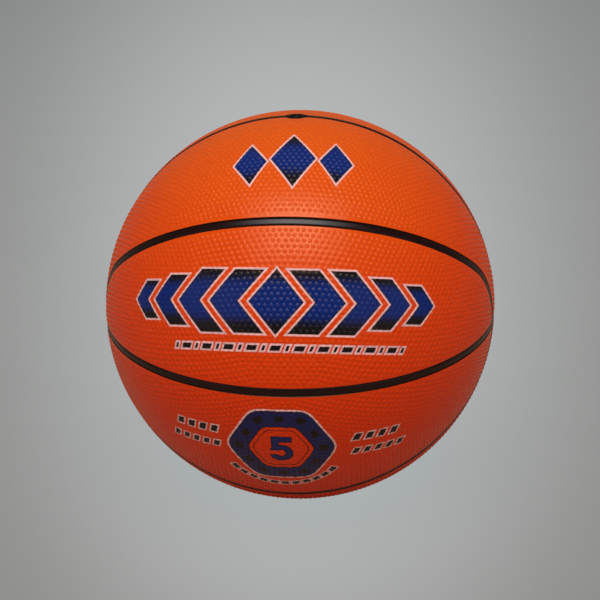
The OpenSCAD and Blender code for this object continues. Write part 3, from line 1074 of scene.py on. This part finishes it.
# The valve: a collar level with the strips, a raised ring, and a stem and flange inside the ball
collar_edge = (COLLAR_EDGE_R - COLLAR_ROUND, COLLAR_TOP - COLLAR_FALL - COLLAR_ROUND)
valve_profile = (
    [(NEEDLE_R, STEM_FOOT), (NEEDLE_R, PLUG_FOOT), (PLUG_R, PLUG_FOOT)]
    + [(PLUG_R, PLUG_TOP), (NECK_R, PLUG_TOP)]
    + arc((NECK_R + MOUTH_ROUND, RING_TOP - MOUTH_ROUND), MOUTH_ROUND, np.linspace(180, 90, 6))
    + arc((RING_SHOULDER_R, RING_TOP - RING_ROUND), RING_ROUND, np.linspace(90, 15, 7))
    + arc((RING_FOOT_R, COLLAR_TOP + RING_FILLET), RING_FILLET, np.linspace(200, 270, 4))
    + [(COLLAR_FLAT_R, COLLAR_TOP - COLLAR_FALL / 2)]
    + arc(collar_edge, COLLAR_ROUND, np.linspace(80, 0, 6))
    + [(COLLAR_EDGE_R, COLLAR_FOOT + SHORT_STEP), (STEM_R, COLLAR_FOOT), (STEM_R, FLANGE_TOP)]
    + [(FLANGE_R, FLANGE_RIM_TOP), (FLANGE_UNDER_R, FLANGE_RIM_UNDER), (STEM_R, FLANGE_UNDER)]
    + [(STEM_R, STEM_FOOT + STEM_CHAMFER), (STEM_R - STEM_CHAMFER, STEM_FOOT)]
)
valve = turned("valve_boss", valve_profile, VALVE)
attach(valve, "root")
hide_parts("valve_body")

mouth_foot = CORE_TOP - MOUTH_FLARE + PLAY
core_profile = (
    [(NEEDLE_R, NEEDLE_FOOT), (NEEDLE_R, mouth_foot - SHORT_STEP)]
    + arc((NEEDLE_R + MOUTH_FLARE, mouth_foot), MOUTH_FLARE, np.linspace(180, 100, 6))
    + [(CORE_TOP_R, CORE_TOP), (NECK_R - PLAY, CORE_EDGE), (NECK_R - PLAY, PLUG_TOP + PLAY)]
    + [(PLUG_R - PLAY, PLUG_TOP - PLAY), (PLUG_R - PLAY, PLUG_FOOT + SHORT_STEP)]
    + [(SLIT_R, PLUG_FOOT + PLAY), (SLIT_R, SLIT_TOP)]
)
core = turned("valve_core_plug", core_profile, CORE)
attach(core, "root")
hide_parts("valve_core")

# The layers inside the ball keep their solids
INSIDE = {
    "bladder": BUTYL,
    "valve_patch": BUTYL,
    "nylon_winding": NYLON,
    "carcass_upper": CARCASS,
    "carcass_lower": CARCASS,
}
for node, rubber in INSIDE.items():
    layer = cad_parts[node]
    layer.data.materials.clear()
    layer.data.materials.append(rubber)


# Stage

back, level, steep = directions_at(*CAMERA_AT)
right = level * math.cos(CAMERA_ROLL) + steep * math.sin(CAMERA_ROLL)
camera_axes = right, np.cross(back, right), back
camera_data = bpy.data.cameras.new("camera")
camera_data.sensor_width = SENSOR
camera_data.lens = CAMERA_FOCAL_PX * SENSOR / FRAME_PX
camera_data.clip_start, camera_data.clip_end = CAMERA_SEES
camera = shown("camera", camera_data)
pan = Matrix.Rotation(BALL_AT_PX[0] / CAMERA_FOCAL_PX, 3, "Y")
tilt = Matrix.Rotation(-BALL_AT_PX[1] / CAMERA_FOCAL_PX, 3, "X")
aim = Matrix(np.array(camera_axes).T.tolist()) @ (tilt @ pan)
camera.matrix_world = Matrix.Translation(back * CAMERA_DISTANCE * MM) @ aim.to_4x4()
bpy.context.scene.camera = camera

FLOOR_HALF = 120.0  # metres
FLOOR_GREY = srgb(166, 142, 124)
FLOOR_SEEN = 0.86  # share of the painted grey glow in what the camera sees; the rest holds the ball's shadow
SHADE_REACH = (1000.0, 5000.0)  # mirrored floor turns to the painted grey glow over such distances from the ball
# The painted grey glow of the floor, a pool of light round the ball
GREY_TINT = (0.953, 1.022, 1.028)
GREY_MIDDLE = 0.56
GREY_ACROSS, GREY_FLAT, GREY_UP, GREY_CORNER = 0.344, 0.107, 0.132, 0.086  # its fall to the edges: painted light, falling off round the ball like a pool of light
GREY_ENDS = 1.2  # the fall ends a little outside the picture
PAPER_GRAIN, PAPER_TONE = 0.01, 0.02  # how much the paper varies, in the grey and under the lamps


def paper_look(place):
    paper = noise(place, 0.02)
    return {
        "Base Color": mix_colour(paper, times(FLOOR_GREY, 1 - PAPER_TONE), times(FLOOR_GREY, 1 + PAPER_TONE)),
        "Roughness": 0.9,
        "Specular IOR Level": 0.1,
    }


def painted_glow_grey(place):
    """A painted pool of light: a glowing grey, brightest round the ball and falling off to the edges of the
    picture, by where the camera sees each point.
    """
    from_camera = place.vector("SUBTRACT", tuple(back * CAMERA_DISTANCE))
    ahead = from_camera.dot(-back).most(1.0)
    across, upward = (
        (((from_camera.dot(axis) / ahead * CAMERA_FOCAL_PX + ball_px) * (2 / FRAME_PX)) ** 2).least(GREY_ENDS)
        for axis, ball_px in zip(camera_axes, BALL_AT_PX)
    )
    grey = GREY_MIDDLE - across * GREY_ACROSS + across * across * GREY_FLAT - upward * GREY_UP
    grey = grey + across * upward * GREY_CORNER
    return grey * (noise(place, 0.02) * PAPER_GRAIN + (1 - PAPER_GRAIN / 2))


def floor_paper():
    """Plain paper to the lamps, with the painted grey glow, a pool of light round the ball, laid over it in
    the picture.
    """
    made = material("floor_paper", paper_look)
    tree = made.node_tree
    place = place_on_ball(tree)
    grey = painted_glow_grey(place)
    tone = make(tree, "ShaderNodeCombineColor", None, dict(enumerate(grey * share for share in GREY_TINT)))
    glow = make(tree, "ShaderNodeEmission", None, {"Color": tone})
    rays = ("Is Camera Ray", "Is Glossy Ray", "Is Transmission Ray")
    seen, mirrored, refracted = (make(tree, "ShaderNodeLightPath", None, None, ray) for ray in rays)
    beyond = length(place.part("X"), place.part("Y")).smooth(*SHADE_REACH)
    share = (seen + (mirrored + refracted) * beyond).least(1.0) * FLOOR_SEEN
    paper = Wire(tree, tree.nodes["Principled BSDF"].outputs[0])
    both = make(tree, "ShaderNodeMixShader", None, {0: share, 1: paper, 2: glow})
    feed(tree.nodes["Material Output"], {"Surface": both})
    return made


floor_mesh = bpy.data.meshes.new("floor")
corners = [(x * FLOOR_HALF, y * FLOOR_HALF, -BALL_R * MM) for x, y in ((-1, -1), (1, -1), (1, 1), (-1, 1))]
floor_mesh.from_pydata(corners, [], [(0, 1, 2, 3)])
floor_mesh.materials.append(floor_paper())
floor = shown("floor", floor_mesh)


def soft_light(name, azimuth, elevation, distance, width, height, power):
    """An area light that looks at the ball. Azimuth 0 is in front of it, 90 on its +X side."""
    data = bpy.data.lights.new(name, "AREA")
    data.shape, data.size, data.size_y, data.energy = "RECTANGLE", width, height, power
    light = shown(name, data)
    out = Vector(directions_at(azimuth, elevation)[0])
    light.location = out * distance
    light.rotation_mode = "QUATERNION"
    light.rotation_quaternion = (-out).to_track_quat("-Z", "Y")


soft_light("key", azimuth=0, elevation=66, distance=4.2, width=2.0, height=2.4, power=66)
soft_light("key_surround", azimuth=0, elevation=66, distance=4.21, width=4.0, height=3.2, power=100)
for side in (-1, 1):
    soft_light("fill", azimuth=side * 50, elevation=8, distance=4.0, width=3.0, height=3.0, power=9)

WORLD_TINT = (1.0, 0.82, 0.68)
WORLD_STRENGTH = 0.16
world = bpy.data.worlds.new("studio")
bpy.context.scene.world = world
world.use_nodes = True
world.node_tree.nodes["Background"].inputs["Color"].default_value = (*WORLD_TINT, 1.0)
world.node_tree.nodes["Background"].inputs["Strength"].default_value = WORLD_STRENGTH
bpy.context.scene.view_settings.view_transform = "Standard"
